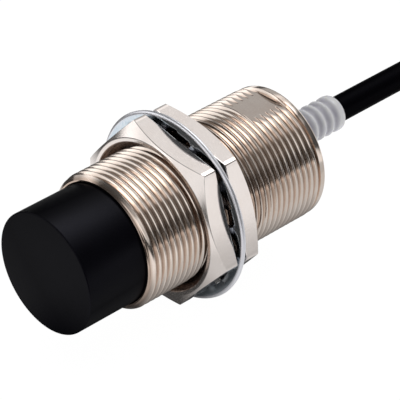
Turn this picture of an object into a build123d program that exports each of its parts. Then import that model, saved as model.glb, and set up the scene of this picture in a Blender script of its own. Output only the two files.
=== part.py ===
from build123d import *
import math
import os

# Inductive proximity sensor: plastic sensing cap, threaded metal barrel, two clamping nuts with a
# toothed washer between them, and a moulded-in cable. Millimetres. The sensor's axis is +X, the
# middle of the sensing face is the origin, the face looks along -X and the cable leaves along +X.
# +Z is the side of the barrel that has the milled flat.

# --- driving dimensions: thread and barrel ---
THREAD_PITCH = 1.5
THREAD_CREST_R = 15.0
THREAD_DEPTH = 0.92
CREST_FLAT = 0.19
ROOT_FLAT = 0.24
THREAD_RUN_OUT = 1.0
CUT_CLEAR = 1.0
CAP_EXPOSED = 15.0
BARREL_LENGTH = 50.0
BARREL_BORE_R = 13.0
CAP_SEAT_R = 13.48
CAP_SEAT_DEPTH = 6.2
FRONT_CHAMFER = 1.1
RIM_LENGTH = 1.6
RIM_R = 14.9
EDGE_BREAK = 0.3
FLAT_HEIGHT = 13.73
FLAT_LENGTH = 9.0
FLAT_TO_END = 1.8

# --- driving dimensions: nuts and washer ---
NUT_ACROSS_FLATS = 36.0
NUT_THICKNESS = 5.0
NUT_TURN = 11.4
NUT_CHAMFER_ANGLE = 30.0
NUT_FACE_R = 17.5
COUNTERSINK_R = 16.75
SEAT_COUNTERSINK_R = 15.6
NUT_BORE_R = 15.1
FRONT_NUT_X = 28.7
REAR_NUT_X = 36.4
WASHER_R = 21.0
WASHER_RING_INNER_R = 18.5
WASHER_THICKNESS = 1.1
WASHER_BORE_R = 15.25
TOOTH_COUNT = 12
TOOTH_WIDTH = 5.4
TOOTH_THICKNESS = 0.88
TOOTH_ROOT_OVERLAP = 0.4
TOOTH_TWIST = 19.0
TOOTH_TURN = -2.0

# --- driving dimensions: sensing cap and coil ---
CAP_R = 13.37
CAP_SPIGOT_R = 13.3
CAP_FACE_WALL = 0.9
CAP_INNER_R = 11.9
CAP_LENGTH = 21.0
CAP_EDGE_ROUND = 0.5
SEAL_SECTION_R = 0.5
SEAL_GROOVE_WIDTH = 1.3
SEAL_GAP = 0.05
SEAL_X = 18.6
CORE_R = 11.7
CORE_FRONT = 1.1
CORE_LENGTH = 9.0
CORE_POST_R = 4.8
CORE_WALL = 2.0
CORE_BACK = 2.4
CORE_HOLE_R = 1.4
LEAD_Y = 7.2
LEAD_Z = 1.0
LEAD_R = 0.2
LEAD_HOLE_R = 0.6
BOBBIN_WALL = 0.6
FIT_GAP = 0.1

# --- driving dimensions: electronics ---
CARRIER_FRONT = 10.3
CARRIER_DISC = 1.6
CARRIER_LENGTH = 8.0
CARRIER_ARM_WIDTH = 2.6
CARRIER_ARM_HEIGHT = 3.6
BOARD_GRIP = 1.0
BOARD_FRONT = 12.1
BOARD_LENGTH = 37.0
BOARD_WIDTH = 19.0
BOARD_THICKNESS = 1.0
SOLDER_LIFT = 0.05
SOLDER_BEAD_R = 0.7
PAD_LENGTH = 4.0
CHIP_X = 12.0
CHIP_SIZE = (8.7, 3.9, 1.5)
CHIP_STAND_OFF = 0.2
LEG_COUNT = 7
LEG_PITCH = 1.27
LEG_WIDTH = 0.4
LEG_THICKNESS = 0.2
LEG_HEIGHT = 0.8
LEG_FOOT = 0.9
LEG_SHOULDER = 0.7
TRANSISTOR_X = 27.0
TRANSISTOR_Y = -3.5
TRANSISTOR_SIZE = (6.5, 3.5, 1.6)
TRANSISTOR_LEG = (0.7, 1.8, 0.3)
TRANSISTOR_TAB_WIDTH = 3.0
TRANSISTOR_LEG_PITCH = 2.3
RESISTOR_SIZE = (1.25, 2.0, 0.5)
RESISTOR_X = 7.0
RESISTOR_Y = 6.2
RESISTOR_PITCH = 2.6
CAPACITOR_SIZE = (1.8, 3.2, 1.4)
CAPACITOR_X = 8.0
CAPACITOR_PITCH = 5.0
SMALL_PART_ROW = 4
DIODE_SIZE = (2.6, 4.4, 2.2)
DIODE_PLACES = ((22.0, 4.6), (27.0, 4.6))
LED_COLLAR = 0.3
LED_COLLAR_LENGTH = 0.8
LED_LEG = 0.5
LED_LEG_Y = 0.8
LED_LEG_REACH = 0.9
RESIN_GAP = 0.6
RESIN_POCKET_DEPTH = 5.2
RESIN_POCKET_HEIGHT = 9.2
RESIN_POCKET_MARGIN = 0.5
RESIN_POCKET_END = 1.5
RESIN_CABLE_R = 4.6

# --- driving dimensions: rear end and cable ---
PLUG_FRONT = 57.5
PLUG_RECESS = 0.5
PLUG_R = 12.88
PLUG_SEAL_OFFSET = 2.65
CABLE_Z = 1.85
CABLE_R = 2.9
CABLE_BORE_GAP = 0.05
CABLE_START = 54.0
CABLE_END = 118.0
BOOT_END = 83.1
BOOT_R = 4.05
BOOT_FLANGE_R = 5.4
BOOT_FLANGE = 2.0
BOOT_RIBS = 6
BOOT_RIB_DEPTH = 0.35
BOOT_RIBS_START = 1.6
BOOT_LIP_LENGTH = 1.8
BOOT_END_TAPER = 1.0
BOOT_END_DROP = 0.8
CLAMP_LENGTH = 2.4
CLAMP_WALL = 0.8
CLAMP_OFFSET = 0.6
LENS_R = 1.6
LENS_Z = -7.0
LENS_DOME = 0.7
LED_R = 1.5
LED_LENGTH = 3.4
CORE_WIRE_R = 0.85
CORE_WIRE_RING = 1.3
STRAND_R = 0.4
STRAND_GAP = 0.1
CORE_PAD_SPREAD = 3.0
CORE_PAD_INSET = 2.2
CORE_PAD_RISE = 0.35
CORE_BEND_LENGTH = 2.6
CORE_BEND_RISE = 0.2
CORE_BEND_SPREAD = 2.4
CORE_FAN_MIDDLE = 9.0
CORE_FAN_END = 20.0
CORE_FAN_SPREAD = 2.6
CORE_TIP_SPREAD = 4.94
BARE_END = 6.0

# --- places worked out from the dimensions above ---
THREAD_ROOT_R = THREAD_CREST_R - THREAD_DEPTH
BARREL_FRONT = CAP_EXPOSED
BARREL_END = BARREL_FRONT + BARREL_LENGTH
RIM_X = BARREL_END - RIM_LENGTH
WASHER_X = (FRONT_NUT_X + NUT_THICKNESS + REAR_NUT_X) / 2
BOARD_END = BOARD_FRONT + BOARD_LENGTH
BOARD_TOP = BOARD_THICKNESS / 2
PLUG_END = BARREL_END - PLUG_RECESS
CORE_GROOVE_OUTER_R = CORE_R - CORE_WALL
CORE_GROOVE_DEPTH = CORE_LENGTH - CORE_BACK


def rod(x, length, radius, y=0.0, z=0.0):
    """A round bar along +X that starts at x."""
    start = (Align.CENTER, Align.CENTER, Align.MIN)
    return Pos(x, y, z) * Rot(0, 90, 0) * Cylinder(radius, length, align=start)


def bore(x, length, radius, y=0.0, z=0.0):
    """A round cutting bar that reaches past both ends of what it cuts."""
    return rod(x - CUT_CLEAR, length + 2 * CUT_CLEAR, radius, y, z)


def tube(x, length, outer, inner, y=0.0, z=0.0):
    """A round tube along +X that starts at x."""
    return rod(x, length, outer, y, z) - bore(x, length, inner, y, z)


def block(x, y, z, length, width, height):
    """A box that starts at x, is centred on y and stands on z."""
    return Pos(x, y, z) * Box(length, width, height, align=(Align.MIN, Align.CENTER, Align.MIN))


def turned(points, z=0.0):
    """A turned piece from (x, radius) points, on a line along +X at height z."""
    profile = make_face(Polyline(*points, close=True))
    return Pos(0, 0, z) * revolve(profile, Axis.X, 360)


def torus_ring(x, ring_r, section_r, z=0.0):
    """A ring of round section about the X direction."""
    return Pos(x, 0, z) * Rot(0, 90, 0) * Torus(ring_r, section_r)


# --- barrel, nuts and washer ---
def ridge_outline(start, end):
    """The lengthwise outline of the thread's ridges: crest, flank, root and flank in every pitch."""
    flank = (THREAD_PITCH - CREST_FLAT - ROOT_FLAT) / 2
    outline = [(start, THREAD_CREST_R)]
    x = start
    while x + THREAD_PITCH < end:
        x += CREST_FLAT
        outline.append((x, THREAD_CREST_R))
        x += flank
        outline.append((x, THREAD_ROOT_R))
        x += ROOT_FLAT
        outline.append((x, THREAD_ROOT_R))
        x += flank
        outline.append((x, THREAD_CREST_R))
    outline.append((end, THREAD_CREST_R))
    return outline


def make_barrel():
    """The barrel. Its thread is drawn as ridges square to the axis, one to a pitch."""
    outside = ridge_outline(BARREL_FRONT, RIM_X - THREAD_RUN_OUT)
    outside += [
        (RIM_X - THREAD_RUN_OUT / 2, THREAD_ROOT_R),
        (RIM_X, RIM_R),
        (BARREL_END - EDGE_BREAK, RIM_R),
        (BARREL_END, RIM_R - EDGE_BREAK),
    ]
    inside = [
        (BARREL_END, BARREL_BORE_R),
        (BARREL_FRONT + CAP_SEAT_DEPTH, BARREL_BORE_R),
        (BARREL_FRONT + CAP_SEAT_DEPTH, CAP_SEAT_R),
        (BARREL_FRONT, CAP_SEAT_R),
    ]
    body = turned(outside + inside)
    chamfer_start_r = THREAD_CREST_R - FRONT_CHAMFER
    outside_r = THREAD_CREST_R + CUT_CLEAR
    body -= turned([
        (BARREL_FRONT - CUT_CLEAR, chamfer_start_r - CUT_CLEAR),
        (BARREL_FRONT + FRONT_CHAMFER + CUT_CLEAR, outside_r),
        (BARREL_FRONT - CUT_CLEAR, outside_r),
    ])
    flat_x = BARREL_END - FLAT_TO_END - FLAT_LENGTH
    above_flat = THREAD_CREST_R - FLAT_HEIGHT + CUT_CLEAR
    body -= block(flat_x, 0, FLAT_HEIGHT, FLAT_LENGTH, 2 * THREAD_CREST_R, above_flat)
    return body


def nut_blank(chamfer_in_front):
    """A hexagon from x = 0 to the nut's thickness, chamfered on one of its two sides."""
    corner_r = NUT_ACROSS_FLATS / 2 / math.cos(math.pi / 6)
    hexagon = RegularPolygon(NUT_ACROSS_FLATS / 2, 6, major_radius=False)
    blank = Rot(NUT_TURN + 30, 0, 0) * Rot(0, 90, 0) * extrude(hexagon, NUT_THICKNESS)
    rise = math.tan(math.radians(NUT_CHAMFER_ANGLE))
    outside_r = corner_r + CUT_CLEAR
    cone = turned([
        (0, 0),
        (0, NUT_FACE_R),
        ((outside_r - NUT_FACE_R) * rise, outside_r),
        (NUT_THICKNESS - EDGE_BREAK, outside_r),
        (NUT_THICKNESS - EDGE_BREAK, corner_r),
        (NUT_THICKNESS, corner_r - EDGE_BREAK / rise),
        (NUT_THICKNESS, 0),
    ])
    blank &= cone
    if not chamfer_in_front:
        blank = Pos(NUT_THICKNESS, 0, 0) * mirror(blank, Plane.YZ)
    return blank


def countersink(x, mouth_r, direction):
    """The cone to cut at a nut's face at x; direction is the way into the nut."""
    throat_r = THREAD_ROOT_R
    depth = mouth_r - throat_r
    return turned([
        (x - direction * CUT_CLEAR, 0),
        (x - direction * CUT_CLEAR, mouth_r + CUT_CLEAR),
        (x + direction * depth, throat_r),
        (x + direction * depth, 0),
    ])


def make_nut(x, chamfer_in_front):
    """A nut whose bore is drawn plain, just clear of the barrel's crests."""
    blank = Pos(x, 0, 0) * nut_blank(chamfer_in_front)
    blank -= bore(x, NUT_THICKNESS, NUT_BORE_R)
    front_r = COUNTERSINK_R if chamfer_in_front else SEAT_COUNTERSINK_R
    rear_r = SEAT_COUNTERSINK_R if chamfer_in_front else COUNTERSINK_R
    blank -= countersink(x, front_r, 1)
    blank -= countersink(x + NUT_THICKNESS, rear_r, -1)
    return blank


def make_washer():
    """A flat ring with inward teeth, each twisted so its edges bite into both nuts."""
    half = WASHER_THICKNESS / 2
    washer = tube(WASHER_X - half, WASHER_THICKNESS, WASHER_R, WASHER_RING_INNER_R)
    tooth_root_r = WASHER_RING_INNER_R + TOOTH_ROOT_OVERLAP
    tooth_length = tooth_root_r - WASHER_BORE_R
    tooth = Box(TOOTH_THICKNESS, TOOTH_WIDTH, tooth_length + 2 * CUT_CLEAR)
    middle_r = WASHER_BORE_R + tooth_length / 2
    keep = tube(WASHER_X - NUT_THICKNESS, 2 * NUT_THICKNESS, tooth_root_r, WASHER_BORE_R)
    for index in range(TOOTH_COUNT):
        turn = 360 / TOOTH_COUNT * index + TOOTH_TURN
        placed = Pos(WASHER_X, 0, 0) * Rot(turn, 0, 0) * Pos(0, 0, middle_r)
        washer += (placed * Rot(0, 0, TOOTH_TWIST) * tooth) & keep
    return washer


# --- sensing head ---
def make_cap():
    cap = turned([
        (0, 0),
        (0, CAP_R),
        (CAP_EXPOSED - CAP_EDGE_ROUND, CAP_R),
        (CAP_EXPOSED - CAP_EDGE_ROUND, CAP_SPIGOT_R),
        (CAP_LENGTH, CAP_SPIGOT_R),
        (CAP_LENGTH, CAP_INNER_R),
        (CAP_FACE_WALL, CAP_INNER_R),
        (CAP_FACE_WALL, 0),
    ])
    outer_edge = cap.edges().filter_by(GeomType.CIRCLE).sort_by(Axis.X)[0]
    cap = fillet(outer_edge, CAP_EDGE_ROUND)
    groove_r = CAP_SPIGOT_R - 2 * SEAL_SECTION_R - SEAL_GAP
    groove_x = SEAL_X - SEAL_GROOVE_WIDTH / 2
    return cap - tube(groove_x, SEAL_GROOVE_WIDTH, CAP_R + CUT_CLEAR, groove_r)


def make_cap_seal():
    return torus_ring(SEAL_X, CAP_SPIGOT_R - SEAL_SECTION_R, SEAL_SECTION_R)


def make_ferrite_core():
    core = rod(CORE_FRONT, CORE_LENGTH, CORE_R)
    groove_start = CORE_FRONT - CUT_CLEAR
    core -= tube(groove_start, CORE_GROOVE_DEPTH + CUT_CLEAR, CORE_GROOVE_OUTER_R, CORE_POST_R)
    core -= bore(CORE_FRONT, CORE_LENGTH, CORE_HOLE_R)
    for side in (-1, 1):
        core -= bore(CORE_FRONT, CORE_LENGTH, LEAD_HOLE_R, side * LEAD_Y, LEAD_Z)
    return core


def make_bobbin():
    inner = CORE_POST_R + FIT_GAP
    outer = CORE_GROOVE_OUTER_R - FIT_GAP
    front = CORE_FRONT + FIT_GAP
    length = CORE_GROOVE_DEPTH - 2 * FIT_GAP
    bobbin = tube(front, length, inner + BOBBIN_WALL, inner)
    bobbin += tube(front, BOBBIN_WALL, outer, inner)
    bobbin += tube(front + length - BOBBIN_WALL, BOBBIN_WALL, outer, inner)
    for side in (-1, 1):
        bobbin -= rod(front + length / 2, length, LEAD_HOLE_R, side * LEAD_Y, LEAD_Z)
    return bobbin


def make_winding():
    inner = CORE_POST_R + BOBBIN_WALL + 2 * FIT_GAP
    outer = CORE_GROOVE_OUTER_R - 4 * FIT_GAP
    front = CORE_FRONT + BOBBIN_WALL + 2 * FIT_GAP
    return tube(front, CORE_GROOVE_DEPTH - 2 * BOBBIN_WALL - 4 * FIT_GAP, outer, inner)


def make_coil_leads():
    """Two enamelled wires from the back of the winding to the board's front pads."""
    start = CORE_FRONT + CORE_GROOVE_DEPTH - BOBBIN_WALL + FIT_GAP
    length = BOARD_FRONT + PAD_LENGTH - start
    return [rod(start, length, LEAD_R, side * LEAD_Y, LEAD_Z) for side in (-1, 1)]


def make_coil_carrier():
    """A disc behind the core with two slotted arms that grip the board's edges."""
    carrier = rod(CARRIER_FRONT, CARRIER_DISC, CORE_R)
    for side in (-1, 1):
        edge_y = side * BOARD_WIDTH / 2
        carrier += block(CARRIER_FRONT, edge_y, -CARRIER_ARM_HEIGHT / 2, CARRIER_LENGTH,
                         CARRIER_ARM_WIDTH, CARRIER_ARM_HEIGHT)
        slot_height = BOARD_THICKNESS + 2 * FIT_GAP
        slot_y = side * (BOARD_WIDTH / 2 - BOARD_GRIP)
        slot_width = 2 * (BOARD_GRIP + FIT_GAP)
        carrier -= block(BOARD_FRONT - FIT_GAP, slot_y, -slot_height / 2, CARRIER_LENGTH,
                         slot_width, slot_height)
        carrier -= bore(CARRIER_FRONT, CARRIER_DISC, LEAD_HOLE_R, side * LEAD_Y, LEAD_Z)
    return carrier & rod(CARRIER_FRONT, CARRIER_LENGTH, CORE_R)


# --- electronics ---
def make_board():
    return block(BOARD_FRONT, 0, -BOARD_TOP, BOARD_LENGTH, BOARD_WIDTH, BOARD_THICKNESS)


def chip_legs(x, width):
    """Gull-wing legs down both long sides of a small-outline package."""
    legs = []
    foot_z = BOARD_TOP + SOLDER_LIFT + LEG_THICKNESS / 2
    for index in range(LEG_COUNT):
        leg_x = x + (index - (LEG_COUNT - 1) / 2) * LEG_PITCH
        for side in (-1, 1):
            shin_y = side * (width / 2 + LEG_SHOULDER / 2)
            foot_y = side * (width / 2 + (LEG_SHOULDER + LEG_FOOT - LEG_THICKNESS) / 2)
            shoulder_y = side * (width / 2 + LEG_THICKNESS / 2)
            shin_z = foot_z - LEG_THICKNESS / 2 + LEG_HEIGHT / 2
            legs.append(Pos(leg_x, foot_y, foot_z) * Box(LEG_WIDTH, LEG_FOOT, LEG_THICKNESS))
            legs.append(Pos(leg_x, shin_y, shin_z) * Box(LEG_WIDTH, LEG_THICKNESS, LEG_HEIGHT))
            shoulder = Box(LEG_WIDTH, LEG_SHOULDER, LEG_THICKNESS)
            legs.append(Pos(leg_x, shoulder_y, foot_z + LEG_HEIGHT - LEG_THICKNESS) * shoulder)
    return legs


def make_oscillator_chip():
    length, width, height = CHIP_SIZE
    x = BOARD_FRONT + CHIP_X
    package = Pos(x, 0, BOARD_TOP + CHIP_STAND_OFF + height / 2) * Box(length, width, height)
    return package + chip_legs(x, width)


def make_output_transistor():
    length, width, height = TRANSISTOR_SIZE
    leg_width, leg_length, leg_thickness = TRANSISTOR_LEG
    x = BOARD_FRONT + TRANSISTOR_X
    leg_z = BOARD_TOP + SOLDER_LIFT + leg_thickness / 2
    leg_offset = width / 2 + leg_length / 2 - leg_thickness
    body_z = BOARD_TOP + 2 * SOLDER_LIFT + height / 2
    package = Pos(x, TRANSISTOR_Y, body_z) * Box(length, width, height)
    tab = Box(TRANSISTOR_TAB_WIDTH, leg_length, leg_thickness)
    package += Pos(x, TRANSISTOR_Y + leg_offset, leg_z) * tab
    for index in (-1, 0, 1):
        leg_x = x + index * TRANSISTOR_LEG_PITCH
        leg = Box(leg_width, leg_length, leg_thickness)
        package += Pos(leg_x, TRANSISTOR_Y - leg_offset, leg_z) * leg
    return package


def surface_parts(places, size, under=False):
    """Small bricks soldered flat on the board, on its top or its underside."""
    length, width, height = size
    lift = BOARD_TOP + SOLDER_LIFT + height / 2
    level = -lift if under else lift
    return [Pos(BOARD_FRONT + x, y, level) * Box(length, width, height) for x, y in places]


def make_resistors():
    places = [(RESISTOR_X + RESISTOR_PITCH * index, side * RESISTOR_Y)
              for index in range(SMALL_PART_ROW) for side in (-1, 1)]
    return surface_parts(places, RESISTOR_SIZE)


def make_capacitors():
    places = [(CAPACITOR_X + CAPACITOR_PITCH * index, 0.0) for index in range(SMALL_PART_ROW)]
    return surface_parts(places, CAPACITOR_SIZE, under=True)


def make_diodes():
    return surface_parts(DIODE_PLACES, DIODE_SIZE)


def make_led():
    """The indicator lamp, hung below the board's rear edge by its legs to face the light guide."""
    lamp_x = BOARD_END - LED_LENGTH / 2
    lamp = rod(lamp_x, LED_LENGTH, LED_R, z=LENS_Z)
    lamp += Pos(lamp_x + LED_LENGTH, 0, LENS_Z) * Sphere(LED_R)
    lamp += rod(lamp_x, LED_COLLAR_LENGTH, LED_R + LED_COLLAR, z=LENS_Z)
    leg_x = lamp_x - LED_LEG_REACH
    leg_bottom = LENS_Z - LED_LEG / 2
    leg_height = -BOARD_TOP - SOLDER_LIFT - leg_bottom
    for side in (-1, 1):
        leg_y = side * LED_LEG_Y
        lamp += block(leg_x, leg_y, leg_bottom, LED_LEG_REACH + LED_LEG / 4, LED_LEG, LED_LEG)
        lamp += block(leg_x, leg_y, leg_bottom, LED_LEG, LED_LEG, leg_height)
    return lamp


def make_potting():
    """Cast resin behind the cap, drawn with a pocket so that it stays clear of the board."""
    front = CAP_LENGTH + RESIN_GAP
    end = PLUG_FRONT - RESIN_GAP
    resin = rod(front, end - front, PLUG_R)
    pocket_start = front - CUT_CLEAR
    pocket_length = BOARD_END + RESIN_POCKET_END - pocket_start
    pocket_width = BOARD_WIDTH + 2 * RESIN_POCKET_MARGIN
    resin -= block(pocket_start, 0, -RESIN_POCKET_DEPTH, pocket_length, pocket_width,
                   RESIN_POCKET_HEIGHT)
    resin -= bore(BOARD_END, PLUG_FRONT - BOARD_END, RESIN_CABLE_R, z=CABLE_Z)
    lamp_x = BOARD_END - LED_LENGTH
    return resin - bore(lamp_x, PLUG_FRONT - lamp_x, LENS_R + RESIN_GAP, z=LENS_Z)


# --- rear end ---
def make_rear_plug():
    plug = turned([
        (PLUG_FRONT, 0),
        (PLUG_FRONT, PLUG_R),
        (PLUG_END - EDGE_BREAK, PLUG_R),
        (PLUG_END, PLUG_R - EDGE_BREAK),
        (PLUG_END, 0),
    ])
    length = PLUG_END - PLUG_FRONT
    groove_x = PLUG_FRONT + PLUG_SEAL_OFFSET - SEAL_GROOVE_WIDTH / 2
    groove_r = PLUG_R - 2 * SEAL_SECTION_R - SEAL_GAP
    plug -= tube(groove_x, SEAL_GROOVE_WIDTH, PLUG_R + CUT_CLEAR, groove_r)
    plug -= bore(PLUG_FRONT, length, BOOT_R + FIT_GAP, z=CABLE_Z)
    flange_start = PLUG_FRONT - CUT_CLEAR
    flange_depth = BOOT_FLANGE + 2 * FIT_GAP + CUT_CLEAR
    plug -= rod(flange_start, flange_depth, BOOT_FLANGE_R + FIT_GAP, z=CABLE_Z)
    return plug - bore(PLUG_FRONT, length, LENS_R + FIT_GAP, z=LENS_Z)


def make_plug_seal():
    return torus_ring(PLUG_FRONT + PLUG_SEAL_OFFSET, PLUG_R - SEAL_SECTION_R, SEAL_SECTION_R)


def make_light_guide():
    """A clear rod with a domed end that stands a little proud of the plug."""
    start = BOARD_END + LED_LENGTH
    return turned([
        (start, 0),
        (start, LENS_R),
        (PLUG_END, LENS_R),
        (PLUG_END + LENS_DOME * 0.7, LENS_R * 0.75),
        (PLUG_END + LENS_DOME, 0),
    ], z=LENS_Z)


def make_boot():
    """A ribbed sleeve with a hidden flange that the rear plug traps."""
    bore_r = CABLE_R + CABLE_BORE_GAP
    groove_r = BOOT_R - BOOT_RIB_DEPTH
    flange_end = PLUG_FRONT + BOOT_FLANGE
    ribs_start = BARREL_END + BOOT_RIBS_START
    step = (BOOT_END - BOOT_LIP_LENGTH - ribs_start) / BOOT_RIBS
    outline = [(PLUG_FRONT, bore_r), (PLUG_FRONT, BOOT_FLANGE_R), (flange_end, BOOT_FLANGE_R),
               (flange_end, BOOT_R), (ribs_start, BOOT_R)]
    for index in range(BOOT_RIBS):
        x = ribs_start + index * step
        outline += [(x + 0.15 * step, groove_r), (x + 0.5 * step, groove_r),
                    (x + 0.65 * step, BOOT_R), (x + step, BOOT_R)]
    outline += [(BOOT_END - BOOT_END_TAPER, BOOT_R), (BOOT_END, BOOT_R - BOOT_END_DROP),
                (BOOT_END, bore_r)]
    return turned(outline, z=CABLE_Z)


def make_clamp_ring():
    """The crimped ring that stops the cable being pulled out."""
    inner = CABLE_R + CABLE_BORE_GAP
    return tube(CABLE_START + CLAMP_OFFSET, CLAMP_LENGTH, inner + CLAMP_WALL, inner, z=CABLE_Z)


def core_places():
    """Where the three insulated cores lie inside the cable, as (y, z) offsets."""
    angles = [math.radians(90 + 120 * index) for index in range(3)]
    return [(CORE_WIRE_RING * math.cos(a), CORE_WIRE_RING * math.sin(a)) for a in angles]


def make_jacket():
    jacket = rod(CABLE_START, CABLE_END - CABLE_START, CABLE_R, z=CABLE_Z)
    hole_r = CORE_WIRE_R + STRAND_GAP
    for y, z in core_places():
        jacket -= bore(CABLE_START, CABLE_END - CABLE_START, hole_r, y=y, z=CABLE_Z + z)
    return jacket


def core_path(index):
    """The line of one insulated core, from its solder pad to its stripped end."""
    y, z = core_places()[index]
    pad_x = BOARD_END - CORE_PAD_INSET
    pad_z = BOARD_TOP + CORE_WIRE_R + CORE_PAD_RISE
    return [
        (pad_x, y * CORE_PAD_SPREAD, pad_z),
        (pad_x + CORE_BEND_LENGTH, y * CORE_BEND_SPREAD, pad_z + CORE_BEND_RISE),
        (CABLE_START, y, CABLE_Z + z),
        (CABLE_END, y, CABLE_Z + z),
        (CABLE_END + CORE_FAN_MIDDLE, y * CORE_FAN_SPREAD, CABLE_Z + z * CORE_FAN_SPREAD),
        (CABLE_END + CORE_FAN_END, y * CORE_TIP_SPREAD, CABLE_Z + z * CORE_TIP_SPREAD),
    ]


def core_spine(index):
    """Straight through the cable, curved where the core leaves it at both ends."""
    points = core_path(index)
    along = (1, 0, 0)
    inner = Spline(*points[:3], tangents=[along, along])
    middle = Line(points[2], points[3])
    outer = Spline(*points[3:], tangents=[along, along])
    return inner, middle, outer


def make_core(index):
    inner, middle, outer = core_spine(index)
    path = Wire([inner.edge(), middle.edge(), outer.edge()])
    start = Plane(origin=path @ 0, z_dir=path % 0)
    return sweep(start * Circle(CORE_WIRE_R) - start * Circle(STRAND_R + STRAND_GAP), path)


def make_conductors():
    """The bare copper inside each core, standing out at the stripped free end."""
    conductors = []
    for index in range(3):
        inner, middle, outer = core_spine(index)
        end = outer @ 1
        tip = Line(end, end + outer % 1 * BARE_END)
        path = Wire([inner.edge(), middle.edge(), outer.edge(), tip.edge()])
        start = Plane(origin=path @ 0, z_dir=path % 0)
        conductors.append(sweep(start * Circle(STRAND_R), path))
    return conductors


def make_solder_joints():
    """Beads that fix the coil leads to the board's front edge."""
    beads = []
    base = BOARD_TOP + SOLDER_LIFT
    bead_x = BOARD_FRONT + PAD_LENGTH + 1.5 * SOLDER_BEAD_R
    for side in (-1, 1):
        bead = Pos(bead_x, side * LEAD_Y, base) * Sphere(SOLDER_BEAD_R)
        beads.append(bead & block(BOARD_FRONT, 0, base, BOARD_LENGTH, BOARD_WIDTH, SOLDER_BEAD_R))
    return beads


def save(name, shape):
    solids = shape if isinstance(shape, list) else [shape]
    export_step(Compound(children=[s for piece in solids for s in piece.solids()]),
                "parts/" + name + ".step")


os.makedirs("parts", exist_ok=True)
save("sensing_cap", make_cap())
save("cap_seal", make_cap_seal())
save("ferrite_core", make_ferrite_core())
save("coil_bobbin", make_bobbin())
save("coil_winding", make_winding())
save("coil_leads", make_coil_leads())
save("coil_carrier", make_coil_carrier())
save("circuit_board", make_board())
save("oscillator_chip", make_oscillator_chip())
save("output_transistor", make_output_transistor())
save("board_resistors", make_resistors())
save("board_capacitors", make_capacitors())
save("protection_diodes", make_diodes())
save("indicator_led", make_led())
save("solder_joints", make_solder_joints())
save("potting_resin", make_potting())
save("threaded_barrel", make_barrel())
save("front_nut", make_nut(FRONT_NUT_X, True))
save("toothed_washer", make_washer())
save("rear_nut", make_nut(REAR_NUT_X, False))
save("rear_plug", make_rear_plug())
save("plug_seal", make_plug_seal())
save("light_guide", make_light_guide())
save("cable_boot", make_boot())
save("clamp_ring", make_clamp_ring())
save("cable_jacket", make_jacket())
save("brown_core", make_core(0))
save("black_core", make_core(1))
save("blue_core", make_core(2))
save("copper_conductors", make_conductors())
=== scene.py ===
import math

import bmesh
import bpy
import numpy as np
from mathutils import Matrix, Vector


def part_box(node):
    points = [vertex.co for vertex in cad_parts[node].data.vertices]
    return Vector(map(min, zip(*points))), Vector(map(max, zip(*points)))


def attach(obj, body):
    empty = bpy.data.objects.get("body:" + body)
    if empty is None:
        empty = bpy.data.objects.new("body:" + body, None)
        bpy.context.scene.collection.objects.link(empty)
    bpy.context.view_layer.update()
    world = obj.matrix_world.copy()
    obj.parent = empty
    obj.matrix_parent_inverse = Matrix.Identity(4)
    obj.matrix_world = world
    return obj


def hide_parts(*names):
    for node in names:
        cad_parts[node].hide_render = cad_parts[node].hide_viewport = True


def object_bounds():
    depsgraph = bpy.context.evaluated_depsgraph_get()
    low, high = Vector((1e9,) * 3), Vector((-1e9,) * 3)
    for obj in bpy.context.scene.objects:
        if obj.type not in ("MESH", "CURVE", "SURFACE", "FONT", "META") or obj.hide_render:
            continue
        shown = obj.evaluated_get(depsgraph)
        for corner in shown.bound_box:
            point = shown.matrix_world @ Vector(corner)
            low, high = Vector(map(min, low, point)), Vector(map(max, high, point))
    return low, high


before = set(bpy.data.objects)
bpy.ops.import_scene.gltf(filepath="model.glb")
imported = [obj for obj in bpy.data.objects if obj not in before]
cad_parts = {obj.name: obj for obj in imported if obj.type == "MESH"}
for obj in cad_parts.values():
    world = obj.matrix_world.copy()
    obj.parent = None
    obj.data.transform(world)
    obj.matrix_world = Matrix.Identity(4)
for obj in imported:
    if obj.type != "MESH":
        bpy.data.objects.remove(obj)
cad_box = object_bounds()

# Everything is in metres, in the frame of the CAD model: the sensor's axis is +X, and an angle about
# it is measured from +Y towards +Z.

MM = 0.001
TURN = 2 * math.pi

# --- places read from the frame ---
BARREL_LOW, BARREL_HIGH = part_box("threaded_barrel")
CAP_LOW, CAP_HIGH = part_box("sensing_cap")
FRONT_NUT_LOW, FRONT_NUT_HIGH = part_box("front_nut")
REAR_NUT_LOW, REAR_NUT_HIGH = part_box("rear_nut")
WASHER_LOW, WASHER_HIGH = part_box("toothed_washer")
PLUG_LOW, PLUG_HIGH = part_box("rear_plug")
BOOT_LOW, BOOT_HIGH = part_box("cable_boot")
JACKET_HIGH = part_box("cable_jacket")[1]
GUIDE_LOW, GUIDE_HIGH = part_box("light_guide")
BOOT_Z = (BOOT_LOW.z + BOOT_HIGH.z) / 2
GUIDE_Z = (GUIDE_LOW.z + GUIDE_HIGH.z) / 2

# --- thread ---
PITCH = 1.5 * MM
CREST_R = BARREL_HIGH.y
THREAD_DEPTH = 0.92 * MM
CREST_FLAT = 0.19 * MM
ROOT_FLAT = 0.24 * MM
THREAD_GAP = 0.24 * MM
THREAD_SOFTNESS = 0.14
SAMPLES_PER_PITCH = 18
THREAD_COLUMNS = 150

# --- barrel ---
SEAT_R = 13.48 * MM
SEAT_DEPTH = 6.2 * MM
BORE_R = 13.0 * MM
FRONT_CHAMFER = 1.1 * MM
RIM_LENGTH = 1.6 * MM
RIM_R = 14.9 * MM
RIM_ROUND = 0.5 * MM
RIM_ROUND_STEPS = 5
FLAT_HEIGHT = 13.73 * MM
FLAT_LENGTH = 9.0 * MM
FLAT_TO_END = 1.8 * MM

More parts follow.
